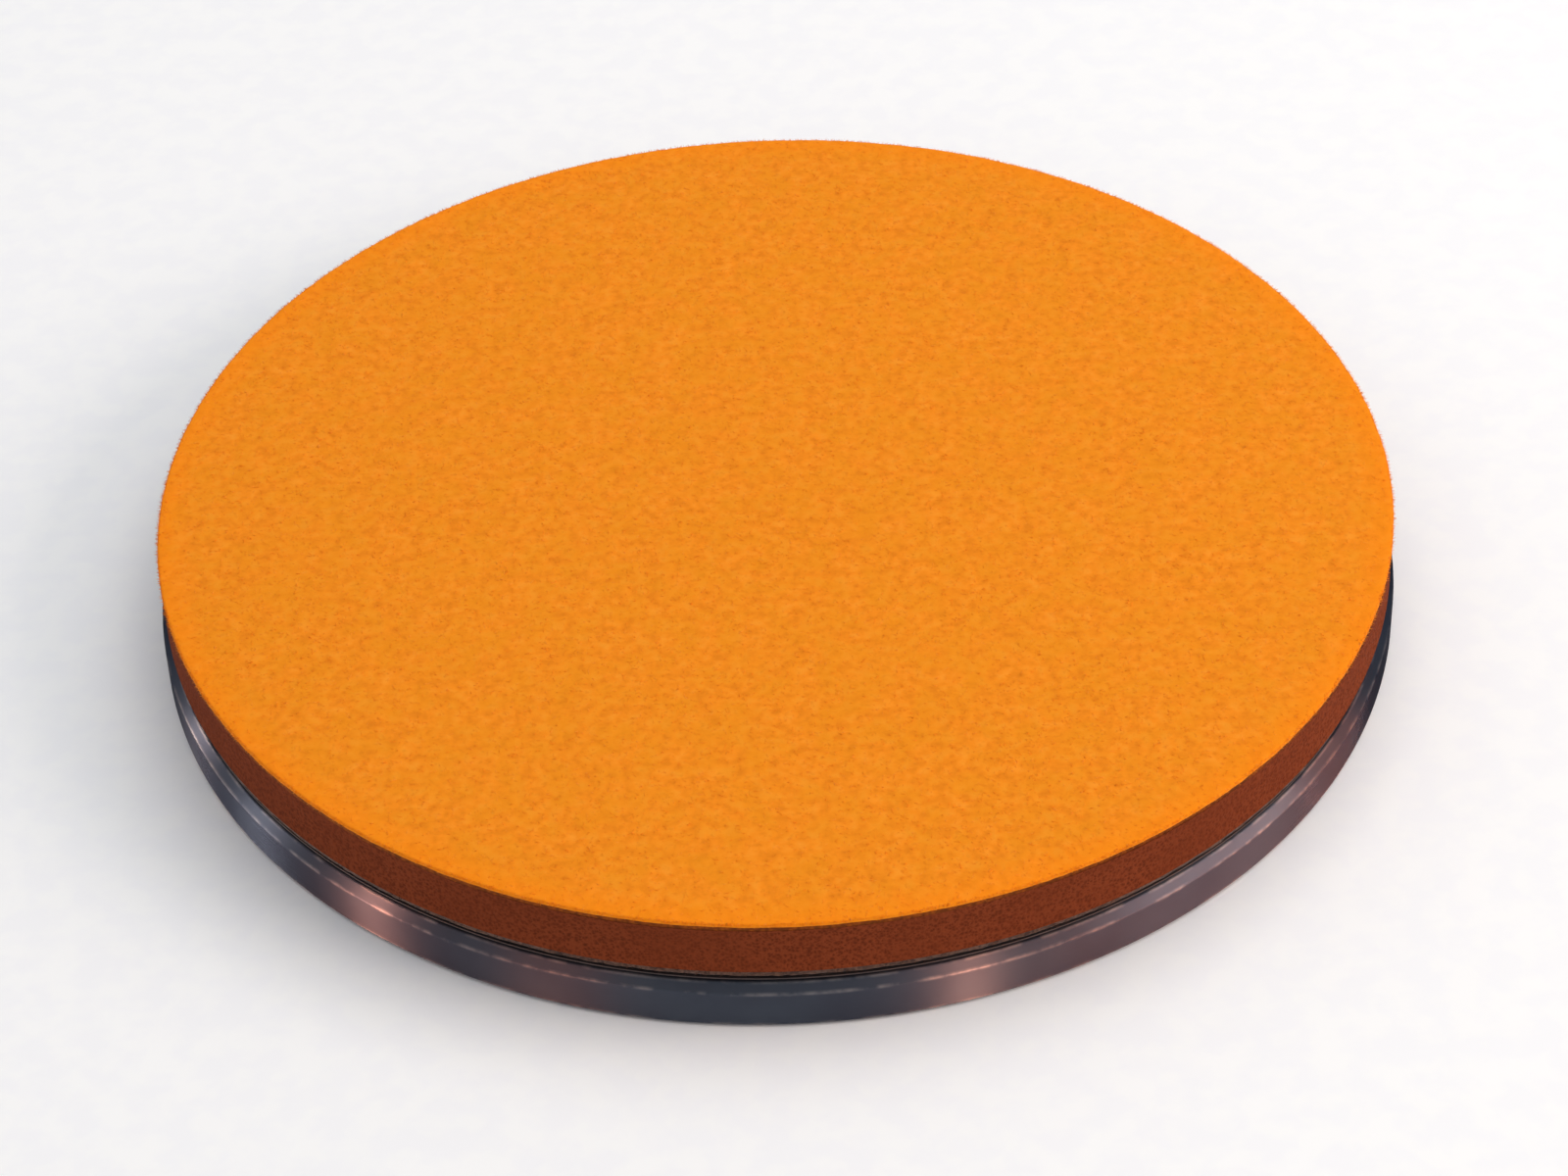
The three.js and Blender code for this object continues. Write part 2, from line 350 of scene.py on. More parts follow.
@dataclass(frozen=True)
class CellFoam(Finish):
    """Dense open-cell polyurethane foam, knife-cut. The eye gets a matt rust brown, flecked with painted
    shade in the mouths of cut cells, with painted light making the cells' rims a little lighter."""

    title: str = "polyurethane_foam_cut"
    # the strut colour is painted light on the cells' rims, the cell colour painted shade in their mouths
    strut_painted_light: str = "#813B20"
    body: str = "#713119"
    cell: str = "#5A2713"
    cell_mm: float = 0.42
    cell_stretch: float = 0.9
    cloud_mm: float = 9.0

    def paint(self, tree: NodeTree, place: NodeSocket) -> dict:
        """Paint shade into the cells and light onto their rims, and let the body vary slowly along the cut.

        Args:
            tree: The material's node tree.
            place: Coordinates fixed to the piece, in metres.

        Returns:
            What fills each socket of the shader.
        """
        uneven = add_node(
            tree, "ShaderNodeTexNoise", {"Vector": place, "Scale": per_metre(self.cell_mm), "Detail": 2.0}
        ).outputs["Color"]
        stretch = (self.cell_mm * self.cell_stretch * MM,) * 3
        pulled = add_node(
            tree, "ShaderNodeVectorMath", {0: uneven, 1: stretch, 2: place}, operation="MULTIPLY_ADD"
        ).outputs[0]
        cells = add_node(tree, "ShaderNodeTexVoronoi", {"Vector": pulled, "Scale": per_metre(self.cell_mm)})
        chance = add_node(tree, "ShaderNodeSeparateColor", {"Color": cells.outputs["Color"]}).outputs["Red"]
        openness = add_node(
            tree, "ShaderNodeMath", {0: chance, 1: 0.6, 2: 0.35}, operation="MULTIPLY_ADD"
        ).outputs[0]
        struts = add_node(
            tree, "ShaderNodeMath", {0: cells.outputs["Distance"], 1: openness}, operation="DIVIDE"
        ).outputs[0]
        # painted shade in the cell mouths, painted light on the rims between them
        stops = [(0.1, self.cell), (0.6, self.body), (1.0, self.strut_painted_light)]
        painted_cell_shading = add_node(tree, "ShaderNodeValToRGB", {"Fac": struts}, stops).outputs["Color"]
        cloud = add_node(
            tree, "ShaderNodeTexNoise", {"Vector": place, "Scale": per_metre(self.cloud_mm), "Detail": 3.0}
        ).outputs["Fac"]
        rubbed = {"From Min": 0.4, "From Max": 0.7, "To Max": 0.45}
        colour = self.stain(tree, painted_cell_shading, self.body, cloud, rubbed)
        bump = add_node(tree, "ShaderNodeBump", {"Height": struts, "Strength": 0.6, "Distance": 0.1 * MM})
        normal = bump.outputs["Normal"]
        return {"Base Color": colour, "Normal": normal, "Roughness": 0.95, "Specular IOR Level": 0.05}


@dataclass(frozen=True)
class BrushedLoopKnit(Finish):
    """Nylon loop knit, brushed. The eye gets a soft dark brown with a lighter tangle of loops over it."""

    title: str = "nylon_loop_knit_brushed"
    loop: str = "#684A3C"
    ground: str = "#3A2822"
    loop_mm: float = 0.9

    def paint(self, tree: NodeTree, place: NodeSocket) -> dict:
        """Tangle light loops over the dark ground.

        Args:
            tree: The material's node tree.
            place: Coordinates fixed to the piece, in metres.

        Returns:
            What fills each socket of the shader.
        """
        stops = [(0.38, self.ground), (0.62, self.loop)]
        tangle, colour = self.mottle(tree, place, self.loop_mm, 5.0, stops, distortion=1.5)
        bump = add_node(tree, "ShaderNodeBump", {"Height": tangle, "Strength": 0.6, "Distance": 0.2 * MM})
        return {
            "Base Color": colour,
            "Normal": bump.outputs["Normal"],
            "Roughness": 0.9,
            "Specular IOR Level": 0.25,
            "Sheen Weight": 0.3,
            "Sheen Roughness": 0.45,
        }


@dataclass(frozen=True)
class MouldedNylon(Finish):
    """Nylon, moulded in one with its hooks. The eye gets a near-black plastic with a soft, uneven shine."""

    title: str = "nylon_moulded_black"
    body: str = "#2A2628"
    bloom: str = "#3A3435"
    flow_mm: float = 6.0

    def paint(self, tree: NodeTree, place: NodeSocket) -> dict:
        """Vary the colour and the shine with the flow of the plastic.

        Args:
            tree: The material's node tree.
            place: Coordinates fixed to the piece, in metres.

        Returns:
            What fills each socket of the shader.
        """
        flow, colour = self.mottle(tree, place, self.flow_mm, 4.0, [(0.35, self.body), (0.7, self.bloom)])
        shine = add_node(
            tree,
            "ShaderNodeMapRange",
            {"Value": flow, "From Min": 0.3, "From Max": 0.7, "To Min": 0.38, "To Max": 0.55},
        ).outputs["Result"]
        return {"Base Color": colour, "Roughness": shine, "IOR": 1.53}


@dataclass(frozen=True)
class RolledContactGlue(Finish):
    """Contact adhesive, rolled on and pressed. The eye gets a thin amber film with roller ripples."""

    title: str = "contact_adhesive_amber"
    thin: str = "#8E6836"
    thick: str = "#643F1A"
    ripple_mm: float = 3.0

    def paint(self, tree: NodeTree, place: NodeSocket) -> dict:
        """Ripple the film's colour and surface.

        Args:
            tree: The material's node tree.
            place: Coordinates fixed to the piece, in metres.

        Returns:
            What fills each socket of the shader.
        """
        stops = [(0.35, self.thick), (0.65, self.thin)]
        ripple, colour = self.mottle(tree, place, self.ripple_mm, 2.0, stops)
        bump = add_node(tree, "ShaderNodeBump", {"Height": ripple, "Strength": 0.3, "Distance": 0.1 * MM})
        return {"Base Color": colour, "Normal": bump.outputs["Normal"], "Roughness": 0.3, "IOR": 1.49}


@dataclass(frozen=True)
class TurnedMetal(Finish):
    """Metal turned in a lathe, so that fine rings run round it on every face. The eye gets highlights drawn
    out across the rings, a slow clouding of the tone, and brighter metal along the edges, partly wear and
    partly a painted edge highlight."""

    title: str = "aluminium_turned_hard_anodised"
    body: str = "#4F5560"
    cloud: str = "#474B56"
    # edge colour: partly bare metal from wear, partly painted highlight
    worn_and_edge_highlight: str = "#7A787C"
    grazing: str = "#62626A"  # a thick oxide keeps the metal dark where it is seen at a flat angle
    ring_mm: float = 0.18  # drawn coarser than the tool's feed, so that it shows
    ring_depth_mm: float = 0.008
    cloud_mm: float = 14.0
    roughness: float = 0.4
    anisotropy: float = 0.97
    quarter_turn: float = 0.25  # lays the highlights across the rings
    edges_mm: tuple[tuple[float, float], ...] = ()  # radius and height of each edge brightened by wear and painted highlight
    edge_width_mm: float = 0.4
    scuff_mm: float = 2.6

    def paint(self, tree: NodeTree, place: NodeSocket) -> dict:
        """Cloud the metal, brighten its edges with wear and painted highlight, and cut its rings.

        Args:
            tree: The material's node tree.
            place: Coordinates fixed to the piece, in metres.

        Returns:
            What fills each socket of the shader.
        """
        reach = self.reach(tree, place)
        height = add_node(tree, "ShaderNodeSeparateXYZ", {"Vector": place}).outputs["Z"]
        clouds = [(0.35, self.cloud), (0.65, self.body)]
        colour = self.mottle(tree, place, self.cloud_mm, 4.0, clouds)[1]
        scuffs = add_node(
            tree, "ShaderNodeTexNoise", {"Vector": place, "Scale": per_metre(self.scuff_mm), "Detail": 4.0}
        ).outputs["Fac"]
        bare = add_node(
            tree, "ShaderNodeMapRange", {"Value": scuffs, "From Min": 0.42, "From Max": 0.62}
        ).outputs["Result"]
        for edge in self.edges_mm:
            across, above = (
                add_node(tree, "ShaderNodeMath", {0: value, 1: at * MM}, operation="SUBTRACT").outputs[0]
                for value, at in zip((reach, height), edge, strict=True)
            )
            offset = add_node(tree, "ShaderNodeCombineXYZ", {"X": across, "Y": above}).outputs[0]
            away = add_node(tree, "ShaderNodeVectorMath", {0: offset}, operation="LENGTH").outputs["Value"]
            near = add_node(
                tree,
                "ShaderNodeMapRange",
                {"Value": away, "From Max": self.edge_width_mm * MM, "To Min": 1.0, "To Max": 0.0},
                interpolation_type="SMOOTHSTEP",
            ).outputs["Result"]
            # the edges are brightened, partly wear and partly painted highlight, broken into dashes by the
            # scuffs
            rubbed = add_node(tree, "ShaderNodeMath", {0: near, 1: bare}, operation="MULTIPLY").outputs[0]
            mixed = {MIX_FACTOR: rubbed, MIX_A: colour, MIX_B: linear(self.worn_and_edge_highlight)}
            colour = add_node(tree, "ShaderNodeMix", mixed, data_type="RGBA").outputs[MIX_RESULT]
        along = add_node(tree, "ShaderNodeMath", {0: reach, 1: height}, operation="ADD").outputs[0]
        rings = add_node(
            tree,
            "ShaderNodeTexNoise",
            {"W": along, "Scale": per_metre(self.ring_mm), "Detail": 2.0},
            noise_dimensions="1D",
        ).outputs["Fac"]
        depth = self.ring_depth_mm * MM
        bump = add_node(tree, "ShaderNodeBump", {"Height": rings, "Strength": 1.0, "Distance": depth})
        grain = add_node(tree, "ShaderNodeTangent", direction_type="RADIAL", axis="Z").outputs[0]
        return {
            "Base Color": colour,
            "Normal": bump.outputs["Normal"],
            "Tangent": grain,
            "Metallic": 1.0,
            "Roughness": self.roughness,
            "Specular Tint": linear(self.grazing),
            "Anisotropic": self.anisotropy,
            "Anisotropic Rotation": self.quarter_turn,
        }


@dataclass(frozen=True)
class BlackenedSteel(Finish):
    """Alloy steel, cold headed and blackened. The eye gets an oily black, faintly brown where it is thin."""

    title: str = "steel_black_oxide"
    body: str = "#2B2A2D"
    thin: str = "#463D38"
    patch_mm: float = 1.6

    def paint(self, tree: NodeTree, place: NodeSocket) -> dict:
        """Patch the black and its shine.

        Args:
            tree: The material's node tree.
            place: Coordinates fixed to the piece, in metres.

        Returns:
            What fills each socket of the shader.
        """
        stops = [(0.45, self.body), (0.75, self.thin)]
        patches, colour = self.mottle(tree, place, self.patch_mm, 4.0, stops)
        shine = add_node(
            tree,
            "ShaderNodeMapRange",
            {"Value": patches, "From Min": 0.3, "From Max": 0.7, "To Min": 0.3, "To Max": 0.45},
        ).outputs["Result"]
        return {"Base Color": colour, "Roughness": shine, "Metallic": 1.0}


@dataclass(frozen=True)
class PaintedBoard(Finish):
    """White-painted board of the studio's table. The eye gets a plain, pale, matt ground."""

    title: str = "board_painted_white"
    paint_colour: str = "#FBFDFF"
    roller: str = "#F8FAFE"
    roller_mm: float = 4.0

    def paint(self, tree: NodeTree, place: NodeSocket) -> dict:
        """Leave a trace of the roller in the paint.

        Args:
            tree: The material's node tree.
            place: Coordinates fixed to the piece, in metres.

        Returns:
            What fills each socket of the shader.
        """
        stops = [(0.4, self.roller), (0.6, self.paint_colour)]
        colour = self.mottle(tree, place, self.roller_mm, 2.0, stops)[1]
        return {"Base Color": colour, "Roughness": 0.8, "Specular IOR Level": 0.0}


# ------------------------------------------------------------------ mesh building


def polar(radius: np.ndarray, angle: np.ndarray, height: np.ndarray) -> np.ndarray:
    """Turn radii, angles and heights into places, with x, y and z along the last axis."""
    return np.stack(np.broadcast_arrays(radius * np.cos(angle), radius * np.sin(angle), height), axis=-1)


def from_profile(
    outline: np.ndarray, segments: int, closed: bool = True, radius_change: np.ndarray | None = None
) -> tuple[np.ndarray, list]:
    """Turn an outline about the spindle's axis.

    Args:
        outline: Points of radius and height in millimetres, with the material on its left.
        segments: Steps round the axis.
        closed: Whether the outline closes on itself. An open one gets a flat cap at each end.
        radius_change: What each point of each row adds to its radius, by row and step.

    Returns:
        Vertices in millimetres and the faces between them.
    """
    radii = np.repeat(outline[:, :1], segments, axis=1)
    heights = np.repeat(outline[:, 1:], segments, axis=1)
    if radius_change is not None:
        radii = radii + radius_change
    angles = np.arange(segments) * FULL_TURN / segments
    vertices = polar(radii, angles, heights).reshape(-1, 3)
    lower = np.arange(len(outline) * segments).reshape(len(outline), segments)
    upper = np.roll(lower, -1, axis=0)
    quads = np.stack([lower, np.roll(lower, -1, axis=1), np.roll(upper, -1, axis=1), upper], axis=-1)
    if closed:
        return vertices, quads.reshape(-1, 4).tolist()
    caps = [lower[0, ::-1].tolist(), lower[-1].tolist()]
    return vertices, quads[:-1].reshape(-1, 4).tolist() + caps


def eased(corners: list[tuple[float, float, float]], ease: float, closed: bool = True) -> np.ndarray:
    """Ease the corners of an outline and divide its straight stretches.

    Args:
        corners: Radius, height and the longest step towards the next corner, in millimetres.
        ease: How far from a corner its rounding starts.
        closed: Whether the outline closes on itself. The ends of an open one stay as they are.

    Returns:
        The points of the outline, by row.
    """
    places = np.array([corner[:2] for corner in corners])
    arc_steps = 4
    most_held = 0.25  # of a stretch, kept undivided at each of its ends
    points = []
    for i, corner in enumerate(places):
        at_start, at_end = not closed and i == 0, not closed and i == len(places) - 1
        before, after = places[i - 1], places[(i + 1) % len(places)]
        end = corner
        if not at_start and not at_end:
            start = corner + (before - corner) / np.linalg.norm(before - corner) * ease
            end = corner + (after - corner) / np.linalg.norm(after - corner) * ease
            points += [
                (1 - t) ** 2 * start + 2 * t * (1 - t) * corner + t**2 * end
                for t in np.linspace(0, 1, arc_steps + 1)
            ]
        else:
            points.append(corner)
        if at_end:
            break
        next_is_end = not closed and i == len(places) - 2
        ahead = (after - corner) / np.linalg.norm(after - corner)
        stop = after if next_is_end else after - ahead * ease
        length = np.linalg.norm(stop - end)
        hold = min(ease, length * most_held)
        count = max(1, math.ceil((length - 2 * hold) / corners[i][2]))
        points += [end + ahead * along for along in np.linspace(hold, length - hold, count + 1)]
    return np.array(points)


def ring_outline(
    inner: float, outer: float, bottom: float, top: float, steps: tuple[float, ...], ease: float
) -> np.ndarray:
    """Outline of a flat ring with eased corners.

    Args:
        inner: Inner radius, in millimetres like the rest.
        outer: Outer radius.
        bottom: Height of the underside.
        top: Height of the top.
        steps: Longest steps along the underside, the outer side, the top and the inner side.
        ease: How far from a corner its rounding starts.

    Returns:
        The points of the outline, by row.
    """
    corners = ((inner, bottom), (outer, bottom), (outer, top), (inner, top))
    return eased([(*corner, step) for corner, step in zip(corners, steps, strict=True)], ease)


def lattice_noise(points: np.ndarray, cell: float, seed: int) -> np.ndarray:
    """Smooth noise from random values on a lattice that repeats every 64 cells.

    Args:
        points: Places in millimetres, by row.
        cell: Size of a lattice cell in millimetres.
        seed: Seed of the random values.

    Returns:
        Noise from -1 to 1 at each place.
    """
    size = 64
    table = np.random.default_rng(seed).uniform(-1, 1, (size, size, size))
    scaled = points / cell
    base = np.floor(scaled).astype(int)
    part = scaled - base
    part = part * part * (3 - 2 * part)
    total = np.zeros(len(points))
    for corner in np.ndindex(2, 2, 2):
        index = (base + corner) % size
        weight = np.prod(np.where(corner, part, 1 - part), axis=1)
        total += table[index[:, 0], index[:, 1], index[:, 2]] * weight
    return total


def nearest_seed(points: np.ndarray, cell: float, seed: int) -> np.ndarray:
    """Distance from places on a plane to the nearest of scattered seeds, one seed to a cell.

    Args:
        points: Places in millimetres, two numbers to a row.
        cell: Mean distance between seeds in millimetres.
        seed: Seed of the scatter.

    Returns:
        The distances, in cells.
    """
    size = 256
    scatter = np.random.default_rng(seed).uniform(0, 1, (size, size, 2))
    scaled = points / cell
    base = np.floor(scaled).astype(int)
    best = np.full(len(points), np.inf)
    for step in np.ndindex(3, 3):
        index = base + np.array(step) - 1
        place = index + scatter[index[:, 0] % size, index[:, 1] % size]
        best = np.minimum(best, np.linalg.norm(scaled - place, axis=1))
    return best


def spikes(
    roots: np.ndarray, heading: np.ndarray, rise: np.ndarray, lengths: np.ndarray, width: float
) -> tuple[np.ndarray, np.ndarray]:
    """Closed three-sided spikes, one to a fibre.

    Args:
        roots: Where the fibres start, in millimetres.
        heading: Which way they point, as angles round the axis.
        rise: How steeply they rise, as angles over the level.
        lengths: Their lengths.
        width: Their width at the root.

    Returns:
        Vertices in millimetres and triangles.
    """
    directions = polar(np.cos(rise), heading, np.sin(rise))
    aside = np.cross(directions, OBLIQUE)
    aside /= np.linalg.norm(aside, axis=1, keepdims=True)
    across = np.cross(directions, aside)
    sides = [
        roots + (aside * math.cos(a) + across * math.sin(a)) * width / 2
        for a in (0, FULL_TURN / 3, 2 * FULL_TURN / 3)
    ]
    tips = roots + directions * lengths[:, None]
    vertices = np.stack([*sides, tips], axis=1).reshape(-1, 3)
    pattern = np.array([(0, 2, 1), (0, 1, 3), (1, 2, 3), (2, 0, 3)])
    triangles = (np.arange(len(roots)) * 4)[:, None, None] + pattern
    return vertices, triangles.reshape(-1, 3)


def make_object(
    name: str,
    vertices: np.ndarray,
    faces: np.ndarray | list,
    finishes: list[Finish],
    slots: np.ndarray | None = None,
) -> Object:
    """Make a smooth-shaded object in the scene.

    Args:
        name: The piece's name.
        vertices: Vertices in millimetres, in the frame of the whole object.
        faces: Vertex numbers of each face.
        finishes: The finishes of its material slots.
        slots: The slot of each face, if there is more than one.

    Returns:
        The new object.
    """
    mesh = bpy.data.meshes.new(name)
    listed = faces.tolist() if isinstance(faces, np.ndarray) else faces
    mesh.from_pydata((vertices * MM).tolist(), [], listed)
    for finish in finishes:
        mesh.materials.append(finish.make())
    if slots is not None:
        mesh.polygons.foreach_set("material_index", np.asarray(slots, np.int32))
    mesh.polygons.foreach_set("use_smooth", np.ones(len(mesh.polygons), bool))
    mesh.update()
    made = bpy.data.objects.new(name, mesh)
    bpy.context.scene.collection.objects.link(made)
    return made


def carve(target: Object, cutters: list[Object], crease_deg: float = 35.0) -> None:
    """Cut closed meshes out of another and remove them.

    Args:
        target: What is cut.
        cutters: What is cut out of it.
        crease_deg: Edges that turn further than this stay crisp.
    """
    for cutter in cutters:
        modifier = target.modifiers.new("cut", "BOOLEAN")
        modifier.operation = "DIFFERENCE"
        modifier.solver = "MANIFOLD"
        modifier.object = cutter
    bpy.context.view_layer.update()
    evaluated = target.evaluated_get(bpy.context.evaluated_depsgraph_get())
    carved = bpy.data.meshes.new_from_object(evaluated)
    carved.set_sharp_from_angle(angle=math.radians(crease_deg))
    target.modifiers.clear()
    target.data = carved
    for cutter in cutters:
        bpy.data.objects.remove(cutter)


def settle(piece: Object, body: Body, slot: str, *stands_for: str) -> Object:
    """Let a piece ride on its body and hide the solids that it stands for.

    Args:
        piece: The finished piece, in place.
        body: The body that it moves with.
        slot: The record's material slot; not used.
        stands_for: The solids that it replaces.

    Returns:
        The same piece.
    """
    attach(piece, body.value)
    if stands_for:
        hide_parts(*stands_for)
    LOG.info("%s rides on %s, %d faces", piece.name, body.value, len(piece.data.polygons))
    return piece


def span(node: str) -> tuple[float, float, float]:
    """Return a solid's outer radius, bottom and top, in millimetres."""
    low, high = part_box(node)
    return high.x / MM, low.z / MM, high.z / MM


class Layer:
    """A part as wide and as thick as the solid that it stands for."""

    node: ClassVar[str]

    def __post_init__(self) -> None:
        """Take the outer radius, the bottom and the top from the solid, in millimetres."""
        self.radius, self.bottom, self.top = span(self.node)


# ------------------------------------------------------------------ the pad


@dataclass
class WorkingFace(Layer):
    """The velour face: its knitted ground, the top of its pile and the loose ends of its fibres."""

    node: ClassVar[str] = "working_face"
    rounding: float = 0.3
    rounding_steps: int = 3
    grid_steps: int = 286
    ground_thickness: float = 0.36
    cut_inset: float = 0.03
    lip_gap: float = 0.01
    lean_cell: float = 2.2
    lean_height: float = 0.035
    tuft_cell: float = 0.85
    tuft_height: float = 0.05
    pit_depth: float = 0.12
    pit_radius: float = 0.55
    pit_reach: float = 3.0  # in pit radii, where nothing of a pit is left
    pit_margin: float = 2.0
    pit_count: int = 140
    fibre_count: int = 38000
    rim_fibre_count: int = 7000
    fibre_length: float = 0.65
    length_range: tuple[float, float] = (0.5, 1.3)  # as shares of fibre_length
    rim_length: float = 0.7  # as a share of the length on the flat
    fibre_width: float = 0.07  # wider than a real fibre, so that it shows
    fibre_rise_deg: float = 14.0
    rise_spread_deg: float = 8.0
    rim_heading_spread: float = 0.5
    shade_shares: tuple[float, ...] = (0.64, 0.24, 0.12)  # orange fibres, pale ones with a painted glint and deep ones with painted shade
    root_depth: float = 0.04
    seed: int = 11

    def relief(self, points: np.ndarray) -> np.ndarray:
        """Height of the pile over its mean.

        Args:
            points: Places on the face in millimetres.

        Returns:
            Heights in millimetres.
        """
        leaning = lattice_noise(points, self.lean_cell, self.seed) * self.lean_height
        tufted = lattice_noise(points, self.tuft_cell, self.seed + 1) * self.tuft_height
        return leaning + tufted

    def pits(self, points: np.ndarray) -> np.ndarray:
        """Depth of the small pits where the pile has parted.

        Args:
            points: Places on the face in millimetres.

        Returns:
            Depths in millimetres.
        """
        rng = np.random.default_rng(self.seed + 2)
        reach = np.sqrt(rng.uniform(0, 1, self.pit_count)) * (self.radius - self.pit_margin)
        angle = rng.uniform(0, FULL_TURN, self.pit_count)
        depth = np.zeros(len(points))
        for x, y in zip(reach * np.cos(angle), reach * np.sin(angle), strict=True):
            near = np.flatnonzero(np.abs(points[:, 0] - x) < self.pit_reach * self.pit_radius)
            away = np.hypot(points[near, 0] - x, points[near, 1] - y) / self.pit_radius
            depth[near] += np.exp(-(away**2)) * self.pit_depth
        return depth

    def top_grid(self) -> tuple[np.ndarray, np.ndarray, np.ndarray]:
        """A square grid drawn out to a disc, so that its cells stay even.

        Returns:
            Flat vertices, quads and the vertex numbers round the edge, anticlockwise.
        """
        n = self.grid_steps
        line = np.linspace(-1, 1, n + 1)
        u, v = np.meshgrid(line, line, indexing="xy")
        u_larger = np.abs(u) >= np.abs(v)
        safe_u = np.where(u == 0, 1, u)
        safe_v = np.where(v == 0, 1, v)
        quarter = math.pi / 4
        reach = np.where(u_larger, u, v)
        angle = np.where(u_larger, quarter * v / safe_u, 2 * quarter - quarter * u / safe_v)
        vertices = polar((self.radius - self.rounding) * reach, angle, self.top).reshape(-1, 3)
        index = np.arange((n + 1) ** 2).reshape(n + 1, n + 1)
        quads = np.stack([index[:-1, :-1], index[:-1, 1:], index[1:, 1:], index[1:, :-1]], axis=-1)
        edge = np.concatenate([index[0, :-1], index[:-1, -1], index[-1, :0:-1], index[:0:-1, 0]])
        return vertices, quads.reshape(-1, 4), edge

    def build_cloth(self) -> Object:
        """Build the pile's top, its rounded rim and the cut edge of the ground, as one closed sheet.

        The blade that cut the disc has drawn the edge of the ground down over the edge of the glue.

        Returns:
            The sheet of velour.
        """
        vertices, quads, edge = self.top_grid()
        rim = vertices[edge, :2] / (self.radius - self.rounding)
        pile_bottom = self.bottom + self.ground_thickness
        rows = [
            (self.radius - self.rounding * (1 - math.sin(t)), self.top - self.rounding * (1 - math.cos(t)))
            for t in np.linspace(0, math.pi / 2, self.rounding_steps + 1)[1:]
        ]
        rows += [(self.radius, (self.top - self.rounding + pile_bottom) / 2), (self.radius, pile_bottom)]
        ground_start = len(rows)
        film_edge, foam_top = span("face_film")[:2]
        rows += [
            (self.radius - self.cut_inset, pile_bottom - self.cut_inset),
            (self.radius - self.cut_inset, foam_top + self.lip_gap),
            (film_edge + self.lip_gap, foam_top + self.lip_gap),
            (film_edge + self.lip_gap, self.bottom),
        ]
        rings = [np.column_stack([rim * reach, np.full(len(rim), height)]) for reach, height in rows]
        closing = np.array([[0.0, 0.0, self.bottom]])
        vertices = np.concatenate([vertices, *rings, closing])
        upper = edge
        sides = []
        slots = [np.zeros(len(quads), int)]
        first = (self.grid_steps + 1) ** 2
        for i in range(len(rows)):
            lower = first + i * len(edge) + np.arange(len(edge))
            sides.append(np.stack([lower, np.roll(lower, -1), np.roll(upper, -1), upper], axis=-1))
            slots.append(np.full(len(edge), int(i >= ground_start)))
            upper = lower
        last = len(vertices) - 1
        fan = [(last, b, a) for a, b in zip(upper.tolist(), np.roll(upper, -1).tolist(), strict=True)]
        slots.append(np.full(len(fan), 1))
        faces = np.concatenate([quads, *sides]).tolist() + fan
        held = vertices[:, 2] < pile_bottom
        relief = np.where(held, 0, self.relief(vertices) - self.pits(vertices))
        reach = np.hypot(vertices[:, 0], vertices[:, 1])
        tilt = np.clip((reach - self.radius + self.rounding) / self.rounding, 0, 1)[:, None]
        out = vertices * [1, 1, 0] / np.maximum(reach, 1)[:, None]
        up = np.array([0.0, 0.0, 1.0])
        vertices = vertices + (out * tilt + up * (1 - tilt)) * relief[:, None]
        finishes = [ShearedVelour(radius_mm=self.radius), KnitBacking()]
        return make_object("velour_face", vertices, faces, finishes, np.concatenate(slots))

    def build_fibres(self) -> Object:
        """Scatter the loose ends of fibres over the face and round its rim.

        Returns:
            The fibres, in three shades.
        """
        rng = np.random.default_rng(self.seed + 3)
        count = self.fibre_count + self.rim_fibre_count
        at_rim = np.arange(count) >= self.fibre_count
        turn = rng.uniform(0, math.pi / 2, count)
        flat_reach = np.sqrt(rng.uniform(0, 1, count)) * (self.radius - self.rounding)
        rim_reach = self.radius - self.rounding * (1 - np.sin(turn)) - self.root_depth
        around = rng.uniform(0, FULL_TURN, count)
        roots = polar(np.where(at_rim, rim_reach, flat_reach), around, self.top)
        roots[:, 2] -= np.where(at_rim, self.rounding * (1 - np.cos(turn)), 0) + self.root_depth
        roots[:, 2] += np.where(at_rim, 0, self.relief(roots) - self.pits(roots))
        outward = around + rng.normal(0, self.rim_heading_spread, count)
        heading = np.where(at_rim, outward, rng.uniform(0, FULL_TURN, count))
        rise = np.radians(rng.normal(self.fibre_rise_deg, self.rise_spread_deg, count))
        shares = rng.uniform(*self.length_range, count) * np.where(at_rim, self.rim_length, 1)
        vertices, triangles = spikes(roots, heading, rise, self.fibre_length * shares, self.fibre_width)
        shades = rng.choice(len(self.shade_shares), count, p=self.shade_shares)
        # lit and shaded copies of one fibre: the pale is a painted glint, the deep is painted shade
        finishes = [
            SpunFibre(title="polyester_fibre_orange", colour="#F3891A"),
            SpunFibre(title="polyester_fibre_painted_glint", colour="#FFA640"),
            SpunFibre(title="polyester_fibre_painted_shade", colour="#E88119"),
        ]
        return make_object("velour_fibre_ends", vertices, triangles, finishes, np.repeat(shades, 4))

    def assemble(self) -> None:
        """Build the face and its fibres, and lay the sheet on the cushion."""
        fibres = settle(self.build_fibres(), Body.PAD, "orange_nap")
        cloth = settle(self.build_cloth(), Body.PAD, "orange_nap", "working_face")


